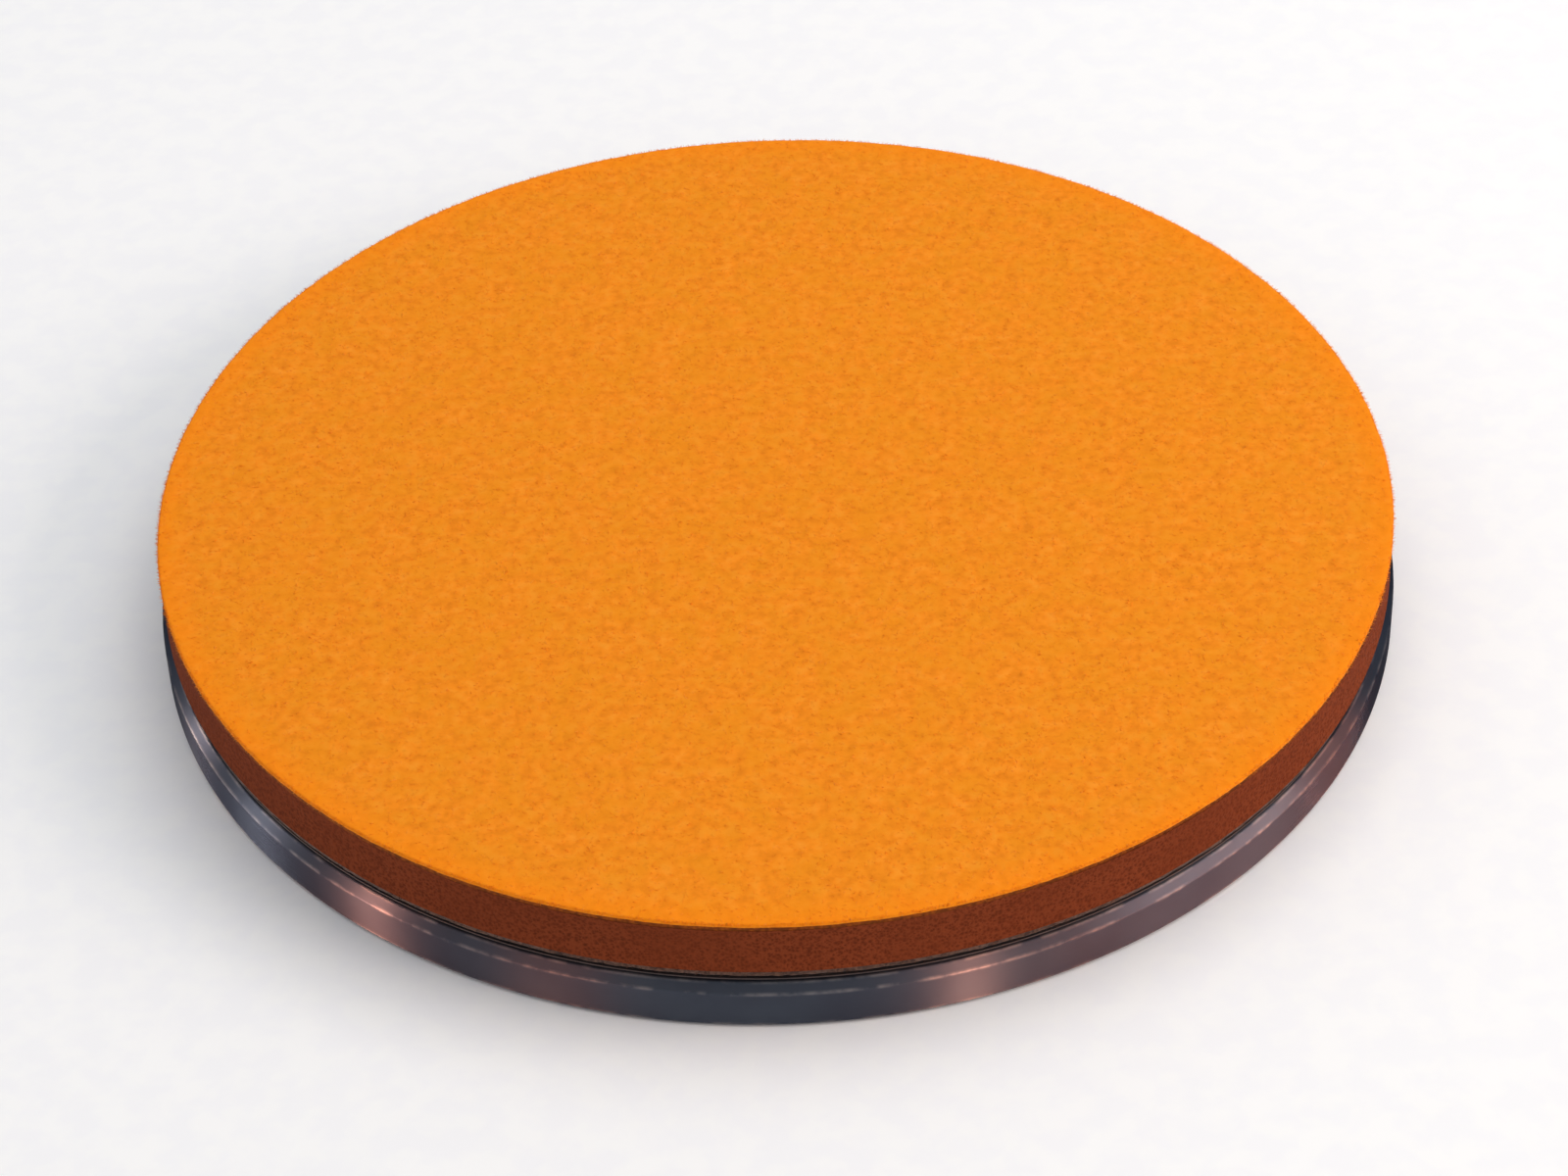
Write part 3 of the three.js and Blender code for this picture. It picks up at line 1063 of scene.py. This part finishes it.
@dataclass
class FoamCushion(Layer):
    """The foam ring under the face, knife-cut round its side, with a pocket for the hub."""

    node: ClassVar[str] = "foam_cushion"
    segments: int = 1400
    side_step: float = 0.22
    flat_step: float = 12.0
    ease: float = 0.05
    cell: float = 0.8
    small_cell: float = 0.6  # as a share of the large one
    mouth_radius: float = 0.5  # in cells
    cell_depth: float = 0.1
    chance_cell: float = 1.7
    edge_fade: float = 0.3
    side_band: float = 0.5  # how far in from the side the cut is drawn
    knife_wander: float = 0.1
    wander_cell: float = 22.0
    waist: float = 0.12
    seed: int = 23

    def build(self) -> Object:
        """Build the ring with real cell mouths in its cut side.

        Returns:
            The cushion.
        """
        steps = (self.flat_step, self.side_step, self.flat_step, 1.0)
        loop = ring_outline(POCKET_RADIUS, self.radius, self.bottom, self.top, steps, self.ease)
        rows = len(loop)
        angles = np.arange(self.segments) * FULL_TURN / self.segments
        run = np.tile(angles * self.radius, rows)
        height = np.repeat(loop[:, 1], self.segments)
        unrolled = np.column_stack([run, height])
        large, small = (
            np.clip(1 - nearest_seed(unrolled, size, seed) / self.mouth_radius, 0, 1)
            for size, seed in ((self.cell, self.seed), (self.cell * self.small_cell, self.seed + 3))
        )
        ring = np.column_stack([np.cos(angles), np.sin(angles)]) * self.radius
        places = np.column_stack([np.tile(ring, (rows, 1)), height])
        wander = lattice_noise(places, self.wander_cell, self.seed + 1) * self.knife_wander
        chance = np.clip(0.5 + lattice_noise(places, self.chance_cell, self.seed + 2), 0, 1)
        from_edge = np.minimum(height - self.bottom, self.top - height)
        fade = np.clip(from_edge / self.edge_fade, 0, 1)
        mouths = -self.cell_depth * (large * chance + small * (1 - chance)) * fade
        share = (height - self.bottom) / (self.top - self.bottom)
        waist = -self.waist * np.sin(np.pi * share)
        change = (mouths + wander + waist).reshape(rows, self.segments)
        on_side = (loop[:, 0] > self.radius - self.side_band)[:, None]
        change = np.where(on_side, change, 0)
        vertices, faces = from_profile(loop, self.segments, radius_change=change)
        return make_object("foam_ring", vertices, faces, [CellFoam()])

    def assemble(self) -> None:
        """Build the cushion and say that it is foam."""
        foam = settle(self.build(), Body.PAD, "rust_foam", "foam_cushion")


@dataclass
class LoopFleece(Layer):
    """The brushed loop knit on the pad's back, with a fuzzy cut edge."""

    node: ClassVar[str] = "loop_fleece"
    segments: int = 640
    ease: float = 0.1
    loop_step: float = 0.72
    loop_spacing: float = 1.1
    loop_height: float = 0.16
    loop_band: float = 0.3  # how far up from the underside the loops reach
    fray_band: float = 0.05
    fray_cell: float = 0.5
    fray_depth: float = 0.1
    fuzz_count: int = 4200
    fuzz_root: float = 0.05
    fuzz_length: tuple[float, float] = (0.15, 0.45)
    fuzz_width: float = 0.06
    fuzz_heading_spread: float = 0.8
    fuzz_rise: tuple[float, float] = (-0.1, 0.3)  # mean and spread
    seed: int = 37

    def build_knit(self) -> Object:
        """Build the knit with its loops in relief on the underside.

        Returns:
            The sheet of fleece.
        """
        steps = (self.loop_step, 0.2, 20.0, 0.4)
        loop = ring_outline(POCKET_RADIUS, self.radius, self.bottom, self.top, steps, self.ease)
        vertices, faces = from_profile(loop, self.segments)
        under = vertices[:, 2] < self.bottom + self.loop_band
        away = nearest_seed(vertices[:, :2], self.loop_spacing, self.seed)
        loops = np.clip(away, 0, 1) * self.loop_height
        vertices[:, 2] += np.where(under, loops, 0)
        outer = np.hypot(vertices[:, 0], vertices[:, 1]) > self.radius - self.fray_band
        fray = lattice_noise(vertices, self.fray_cell, self.seed + 1) * self.fray_depth
        frayed = 1 + np.where(outer, fray / self.radius, 0)
        vertices[:, :2] *= frayed[:, None]
        return make_object("loop_knit", vertices, faces, [BrushedLoopKnit()])

    def build_fuzz(self) -> Object:
        """Scatter loose filaments along the cut edge.

        Returns:
            The filaments.
        """
        rng = np.random.default_rng(self.seed + 2)
        around = rng.uniform(0, FULL_TURN, self.fuzz_count)
        height = rng.uniform(self.bottom + self.fuzz_root, self.top - 2 * self.fuzz_root, self.fuzz_count)
        roots = polar(self.radius - self.fuzz_root, around, height)
        heading = around + rng.normal(0, self.fuzz_heading_spread, self.fuzz_count)
        rise = rng.normal(*self.fuzz_rise, self.fuzz_count)
        lengths = rng.uniform(*self.fuzz_length, self.fuzz_count)
        vertices, triangles = spikes(roots, heading, rise, lengths, self.fuzz_width)
        return make_object("loop_knit_fuzz", vertices, triangles, [SpunFibre("nylon_filament", "#6C5042")])

    def assemble(self) -> None:
        """Build the fleece and its fuzz, and lay the sheet on the pad's back."""
        fuzz = settle(self.build_fuzz(), Body.PAD, "loop_fleece")
        knit = settle(self.build_knit(), Body.PAD, "loop_fleece", "loop_fleece")


# ------------------------------------------------------------------ the plate's side


@dataclass
class HookSheet(Layer):
    """The moulded hook sheet: a thin base with rows of small crooks that lean left and right by turns."""

    node: ClassVar[str] = "hook_sheet"
    segments: int = 480
    ease: float = 0.06
    base_thickness: float = 0.2
    row_step: float = 1.75  # like hook_step, coarser than moulded sheet has it, to keep the mesh light
    hook_step: float = 1.7
    edge_margin: float = 0.6
    tip_share: float = 0.5
    hook_width: float = 0.5
    hook_thickness: float = 0.24

    def one_hook(self) -> tuple[np.ndarray, np.ndarray]:
        """A crook that rises, bends over and points down again. Its line is in shares of its rise.

        Returns:
            Its vertices, standing at the origin and leaning towards +X, and its quads.
        """
        rise = self.top - self.bottom - self.base_thickness
        line = np.array([(0, -0.1), (0, 0.5), (0.09, 0.85), (0.34, 0.96), (0.55, 0.62)]) * rise
        ahead = np.gradient(line, axis=0)
        ahead /= np.linalg.norm(ahead, axis=1, keepdims=True)
        taper = np.linspace(1.0, self.tip_share, len(line))[:, None]
        aside = np.column_stack([-ahead[:, 1], ahead[:, 0]]) * self.hook_thickness / 2 * taper
        aside[:, 1] = np.minimum(aside[:, 1], rise - line[:, 1])
        rings = []
        for point, offset in zip(line, aside, strict=True):
            left, right = point + offset, point - offset
            half = self.hook_width / 2
            rings.append([(left[0], -half, left[1]), (right[0], -half, right[1])])
            rings[-1] += [(right[0], half, right[1]), (left[0], half, left[1])]
        vertices = np.array(rings).reshape(-1, 3)
        quads = [(3, 2, 1, 0)]
        for k in range(len(line) - 1):
            low, high = 4 * k, 4 * (k + 1)
            quads += [(low + j, low + (j + 1) % 4, high + (j + 1) % 4, high + j) for j in range(4)]
        end = 4 * (len(line) - 1)
        quads.append((end, end + 1, end + 2, end + 3))
        return vertices, np.array(quads)

    def build_base(self) -> Object:
        """Build the ring that carries the hooks.

        Returns:
            The base.
        """
        top = self.bottom + self.base_thickness
        loop = ring_outline(POCKET_RADIUS, self.radius, self.bottom, top, (15.0, 0.2, 15.0, 0.2), self.ease)
        vertices, faces = from_profile(loop, self.segments)
        return make_object("hook_sheet_base", vertices, faces, [MouldedNylon()])

    def build_hooks(self) -> Object:
        """Stand the hooks in rows wherever the ring has room for them.

        Returns:
            All the hooks.
        """
        along = np.arange(-self.radius, self.radius, self.hook_step)
        rows = np.arange(-self.radius, self.radius, self.row_step)
        row, x = np.meshgrid(np.arange(len(rows)), along, indexing="ij")
        x = x + (row % 2) * self.hook_step / 2
        y = rows[row]
        reach = np.hypot(x, y)
        kept = (reach < self.radius - self.edge_margin) & (reach > POCKET_RADIUS + self.edge_margin)
        x, y, lean = x[kept], y[kept], np.where(row[kept] % 2, 1.0, -1.0)
        hook, quads = self.one_hook()
        stood = np.repeat(hook[None], len(x), axis=0)
        stood[:, :, 0] = hook[None, :, 0] * lean[:, None] + x[:, None]
        stood[:, :, 1] = hook[None, :, 1] * lean[:, None] + y[:, None]
        stood[:, :, 2] += self.bottom + self.base_thickness
        faces = (np.arange(len(x)) * len(hook))[:, None, None] + quads
        return make_object("hooks", stood.reshape(-1, 3), faces.reshape(-1, 4), [MouldedNylon()])

    def assemble(self) -> None:
        """Build the sheet's base and its hooks."""
        settle(self.build_hooks(), Body.PLATE, "hook_nylon")
        settle(self.build_base(), Body.PLATE, "hook_nylon", "hook_sheet")


@dataclass
class SocketScrews:
    """The countersunk socket screws that hold the bush, and the holes that they need."""

    names: tuple[str, ...] = tuple(f"bush_screw_{i + 1}" for i in range(6))
    shank_radius: float = 2.0
    head_rim: float = 0.35
    clearance: float = 0.15
    socket_radius: float = 1.45
    socket_depth: float = 1.3
    drill_depth: float = 0.4
    drill_share: float = 0.98  # of the hexagon's width across flats
    drill_tip: float = 0.1
    drill_segments: int = 48
    hole_overrun: float = 2.0
    socket_overrun: float = 1.0
    first_turn_deg: float = 30.0
    turn_deg: float = 17.0
    ease: float = 0.08
    segments: int = 64

    def __post_init__(self) -> None:
        """Take the screws' axes, and the size of their heads, from their solids."""
        boxes = [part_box(name) for name in self.names]
        self.axes = [(low + high) / 2 / MM for low, high in boxes]
        low, high = boxes[0]
        self.head_face, self.tip = low.z / MM, high.z / MM
        self.head_radius = (high.y - low.y) / 2 / MM

    def turned(self, grown: float, head_face: float, tip: float) -> tuple[np.ndarray, list]:
        """A screw's outline, turned about the origin.

        Args:
            grown: How far it is grown all round, in millimetres.
            head_face: Height of the head's face.
            tip: Height of the tip.

        Returns:
            Vertices and faces.
        """
        head, shank = self.head_radius + grown, self.shank_radius + grown
        rim = self.head_face + self.head_rim
        core = shank / 2
        outline = eased(
            [
                (core, head_face, 1.0),
                (head, head_face, 0.5),
                (head, rim, 0.5),
                (shank, rim + head - shank, 0.5),
                (shank, tip, 0.5),
                (core, tip, 1.0),
            ],
            self.ease,
            closed=False,
        )
        return from_profile(outline, self.segments, closed=False)

    def hole_cutters(self) -> list[Object]:
        """Build what the screws take out of the flange and the plate.

        Returns:
            One closed mesh to a screw, running past both.
        """
        past = self.hole_overrun
        vertices, faces = self.turned(self.clearance, self.head_face - past, self.tip + past)
        return [
            make_object("hole_cutter", vertices + [axis.x, axis.y, 0], faces, []) for axis in self.axes
        ]

    def socket_cutters(self) -> list[Object]:
        """Build the hexagon of a socket and the drilled point below it.

        Returns:
            The two closed meshes.
        """
        start, floor = self.head_face - self.socket_overrun, self.head_face + self.socket_depth
        drilled = self.socket_radius * math.cos(math.pi / 6) * self.drill_share
        hexagon = np.array([(self.socket_radius, start), (self.socket_radius, floor)])
        drill = np.array([(drilled, start), (drilled, floor), (self.drill_tip, floor + self.drill_depth)])
        return [
            make_object("hexagon_cutter", *from_profile(hexagon, 6, closed=False), []),
            make_object("drill_cutter", *from_profile(drill, self.drill_segments, closed=False), []),
        ]

    def assemble(self) -> None:
        """Build the screws, each turned to where it stopped."""
        vertices, faces = self.turned(0, self.head_face, self.tip)
        for i, (name, axis) in enumerate(zip(self.names, self.axes, strict=True)):
            screw = make_object(name.replace("bush", "socket"), vertices, faces, [BlackenedSteel()])
            carve(screw, self.socket_cutters())
            turn = Matrix.Rotation(math.radians(self.first_turn_deg + i * self.turn_deg), 4, "Z")
            screw.data.transform(Matrix.Translation((axis.x * MM, axis.y * MM, 0)) @ turn)
            settle(screw, Body.PLATE, "blackened_steel", name)


@dataclass
class BackingPlate(Layer):
    """The turned plate, recessed for the bush and drilled for its screws."""

    node: ClassVar[str] = "backing_plate"
    screws: SocketScrews
    top_chamfer: float = 1.0
    bottom_chamfer: float = 0.4
    bush_clearance: float = 0.1
    wall_step: float = 0.5
    face_step: float = 6.0
    ease: float = 0.12
    segments: int = 720

    def __post_init__(self) -> None:
        """Take the plate's radius, bottom and top from its solid, and the recess from the bush's."""
        super().__post_init__()
        self.recess_radius = span("threaded_bush")[0] + self.bush_clearance

    def build(self) -> Object:
        """Turn the plate and drill it.

        Returns:
            The plate.
        """
        bore = HUB_RADIUS + self.bush_clearance
        outline = eased(
            [
                (self.recess_radius, self.bottom, self.face_step),
                (self.radius - self.bottom_chamfer, self.bottom, 0.2),
                (self.radius, self.bottom + self.bottom_chamfer, self.wall_step),
                (self.radius, self.top - self.top_chamfer, 0.3),
                (self.radius - self.top_chamfer, self.top, self.face_step),
                (bore, self.top, 1.0),
                (bore, FLANGE_TOP, 3.0),
                (self.recess_radius, FLANGE_TOP, 1.0),
            ],
            self.ease,
        )
        finish = TurnedMetal(
            edges_mm=(
                (self.radius, self.bottom + self.bottom_chamfer),
                (self.radius, self.top - self.top_chamfer),
                (self.radius - self.top_chamfer, self.top),
            )
        )
        plate = make_object("turned_plate", *from_profile(outline, self.segments), [finish])
        carve(plate, self.screws.hole_cutters())
        return plate

    def assemble(self) -> None:
        """Build the plate."""
        settle(self.build(), Body.PLATE, "turned_aluminium", "backing_plate")


@dataclass
class ThreadedBush(Layer):
    """The steel bush with the spindle's thread cut in its bore."""

    node: ClassVar[str] = "threaded_bush"
    screws: SocketScrews
    hub_chamfer: float = 0.8
    flange_chamfer: float = 0.3
    pitch: float = 2.0
    crest_flat: float = 0.25  # in pitches, like root_flat
    root_flat: float = 0.125
    crest_radius: float = 5.95
    thread_depth: float = 1.05
    mouth_chamfer: float = 1.1
    thread_step: float = 0.06
    ease: float = 0.08
    segments: int = 240
    crease_deg: float = 70.0

    def bore_radius(self, heights: np.ndarray, angles: np.ndarray) -> np.ndarray:
        """Radius of the bore: a thread with a flat crest and root, opened by a chamfer at each mouth.

        Args:
            heights: Heights in millimetres.
            angles: Angles round the axis.

        Returns:
            The radius at each place.
        """
        turn = (heights / self.pitch - angles / FULL_TURN) % 1
        half_crest, half_root = self.crest_flat / 2, self.root_flat / 2
        from_crest = 0.5 - np.abs(turn - 0.5) - half_crest
        flank = np.clip(from_crest / (0.5 - half_crest - half_root), 0, 1)
        thread = self.crest_radius + flank * self.thread_depth
        from_mouth = np.minimum(heights - self.bottom, self.top - heights)
        return np.maximum(thread, self.crest_radius + self.mouth_chamfer - from_mouth)

    def build(self) -> Object:
        """Turn the bush, cut its thread and drill its flange.

        Returns:
            The bush.
        """
        mouth = self.crest_radius + self.mouth_chamfer
        outside = eased(
            [
                (mouth, self.bottom, 3.0),
                (self.radius - self.flange_chamfer, self.bottom, 0.2),
                (self.radius, self.bottom + self.flange_chamfer, 1.0),
                (self.radius, FLANGE_TOP, 2.0),
                (HUB_RADIUS, FLANGE_TOP, 2.0),
                (HUB_RADIUS, self.top - self.hub_chamfer, 0.3),
                (HUB_RADIUS - self.hub_chamfer, self.top, 2.0),
                (mouth, self.top, 1.0),
            ],
            self.ease,
            closed=False,
        )
        count = math.ceil((self.top - self.bottom) / self.thread_step)
        descent = np.linspace(self.top, self.bottom, count + 1)[1:-1]
        outline = np.concatenate([outside, np.column_stack([np.full(len(descent), mouth), descent])])
        angles = np.arange(self.segments) * FULL_TURN / self.segments
        bore = self.bore_radius(descent[:, None], angles[None, :]) - mouth
        change = np.concatenate([np.zeros((len(outside), self.segments)), bore])
        finish = TurnedMetal(
            title="steel_turned_plain",
            body="#8F959E",
            cloud="#7C828C",
            # brightened edges: partly wear, partly painted highlight
            worn_and_edge_highlight="#B9BEC6",
            grazing="#F2F6FF",
            ring_mm=0.25,
            roughness=0.38,
            anisotropy=0.6,
            edges_mm=((self.radius, self.bottom + self.flange_chamfer), (mouth, self.bottom)),
        )
        vertices, faces = from_profile(outline, self.segments, radius_change=change)
        bush = make_object("turned_bush", vertices, faces, [finish])
        carve(bush, self.screws.hole_cutters(), self.crease_deg)
        return bush

    def assemble(self) -> None:
        """Build the bush."""
        settle(self.build(), Body.PLATE, "plain_steel", "threaded_bush")


@dataclass(frozen=True)
class GlueFilms:
    """The adhesive films between the layers: their solids have their true shape and only need a finish."""

    nodes: tuple[str, ...] = ("hook_film", "back_film", "face_film")

    def assemble(self) -> None:
        """Dress each film."""
        for name in self.nodes:
            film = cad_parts[name]
            for slot in film.material_slots:
                slot.material = RolledContactGlue().make()
            LOG.info("%s keeps its solid", name)


# ------------------------------------------------------------------ the studio


@dataclass(frozen=True)
class SoftBox:
    """A lamp behind a diffuser, aimed at the pad."""

    name: str
    azimuth_deg: float
    elevation_deg: float
    distance: float
    width: float
    height: float
    power: float
    colour: str = "#FFFFFF"
    only_reflected: bool = False

    def hang(self) -> None:
        """Hang the lamp in its place."""
        lamp = bpy.data.lights.new(self.name, "AREA")
        lamp.shape = "RECTANGLE"
        lamp.size, lamp.size_y = self.width, self.height
        lamp.energy = self.power
        lamp.color = linear(self.colour)[:3]
        azimuth, elevation = math.radians(self.azimuth_deg), math.radians(self.elevation_deg)
        outward = Vector(polar(math.cos(elevation), azimuth, math.sin(elevation)))
        hung = bpy.data.objects.new(self.name, lamp)
        hung.visible_diffuse = not self.only_reflected
        hung.visible_camera = False
        aimed = outward.to_track_quat("Z", "Y").to_matrix().to_4x4()
        hung.matrix_world = Matrix.Translation(outward * self.distance) @ aimed
        bpy.context.scene.collection.objects.link(hung)


@dataclass
class Studio:
    """A white table in a soft, pale studio, with the camera over the pad's near side."""

    elevation_deg: float = 40.384
    roll_deg: float = -2.282
    distance: float = 0.5033
    focal_length: float = 98.2
    sensor_width: float = 36.0
    clip_start: float = 0.01
    aim_right: float = 0.76
    aim_near: float = 18.51
    floor_side: float = 6.0
    floor_drop: float = 0.1
    zenith_strength: float = 0.5
    horizon_strength: float = 0.7
    horizon_depth: float = 0.3
    lamps: tuple[SoftBox, ...] = (
        SoftBox("overhead_box", 50.0, 72.0, 1.2, 1.2, 1.2, 5.8),
        SoftBox("right_box", -14.0, 30.0, 1.1, 0.7, 0.5, 5.6, "#FFECDE"),
        SoftBox("warm_screen", -18.0, 3.0, 1.1, 1.5, 0.1, 15.5, "#FF8A5C", only_reflected=True),
        SoftBox("front_strip", -63.2, 3.0, 0.9, 0.07, 0.09, 5.0, "#FFA884", only_reflected=True),
        SoftBox("front_left_strip", -127.0, 3.0, 0.9, 0.2, 0.09, 1.7, "#FF9468", only_reflected=True),
        SoftBox("left_strip", -157.4, 3.0, 0.9, 0.05, 0.09, 5.2, "#FFA888", only_reflected=True),
        SoftBox("left_fill", -181.5, 3.0, 0.9, 0.14, 0.09, 1.6, "#FFF2EC", only_reflected=True),
        SoftBox("back_left_strip", 160.0, 3.0, 0.9, 0.06, 0.09, 2.0, "#FFE2D0", only_reflected=True),
    )

    def place_camera(self) -> None:
        """Stand the camera in front of the pad, looking down on it."""
        elevation, roll = math.radians(self.elevation_deg), math.radians(self.roll_deg)
        back = Vector((0, -math.cos(elevation), math.sin(elevation)))
        level = Vector((1, 0, 0))
        raised = back.cross(level)
        right = level * math.cos(roll) + raised * math.sin(roll)
        up = raised * math.cos(roll) - level * math.sin(roll)
        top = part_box("working_face")[1].z
        aim = Vector((self.aim_right * MM, -self.aim_near * MM, top))
        lens = bpy.data.cameras.new("studio_camera")
        lens.sensor_width = self.sensor_width
        lens.lens = self.focal_length
        lens.clip_start = self.clip_start
        camera = bpy.data.objects.new("studio_camera", lens)
        axes = Matrix((right, up, back)).transposed().to_4x4()
        camera.matrix_world = Matrix.Translation(aim + back * self.distance) @ axes
        bpy.context.scene.collection.objects.link(camera)
        bpy.context.scene.camera = camera

    def lay_floor(self) -> None:
        """Lay the table's top just under the plate."""
        half, height = self.floor_side / 2 / MM, -self.floor_drop
        square = ((-half, -half), (half, -half), (half, half), (-half, half))
        corners = np.array([(*corner, height) for corner in square])
        make_object("table_top", corners, [(0, 1, 2, 3)], [PaintedBoard()])

    def light(self) -> None:
        """Fill the room with pale light and hang the lamps."""
        world = bpy.data.worlds.new("pale_room")
        world.use_nodes = True
        tree = world.node_tree
        direction = add_node(tree, "ShaderNodeTexCoord").outputs["Generated"]
        height = add_node(tree, "ShaderNodeSeparateXYZ", {"Vector": direction}).outputs["Z"]
        strength = add_node(
            tree,
            "ShaderNodeMapRange",
            {
                "Value": height,
                "From Max": self.horizon_depth,
                "To Min": self.horizon_strength,
                "To Max": self.zenith_strength,
            },
        ).outputs["Result"]
        background = tree.nodes["Background"]
        background.inputs["Color"].default_value = linear("#FFFFFF")
        tree.links.new(strength, background.inputs["Strength"])
        bpy.context.scene.world = world
        for lamp in self.lamps:
            lamp.hang()
        bpy.context.scene.view_settings.view_transform = "Standard"

    def assemble(self) -> None:
        """Set up the camera, the table and the light."""
        self.place_camera()
        self.lay_floor()
        self.light()


def main() -> None:
    """Set up the studio and build every piece from the bench up."""
    logging.basicConfig(level=logging.INFO, format="%(message)s")
    Studio().assemble()
    screws = SocketScrews()
    for part in (BackingPlate(screws), ThreadedBush(screws), screws, HookSheet(), GlueFilms()):
        part.assemble()
    for part in (LoopFleece(), FoamCushion(), WorkingFace()):
        part.assemble()


if __name__ == "__main__":
    main()
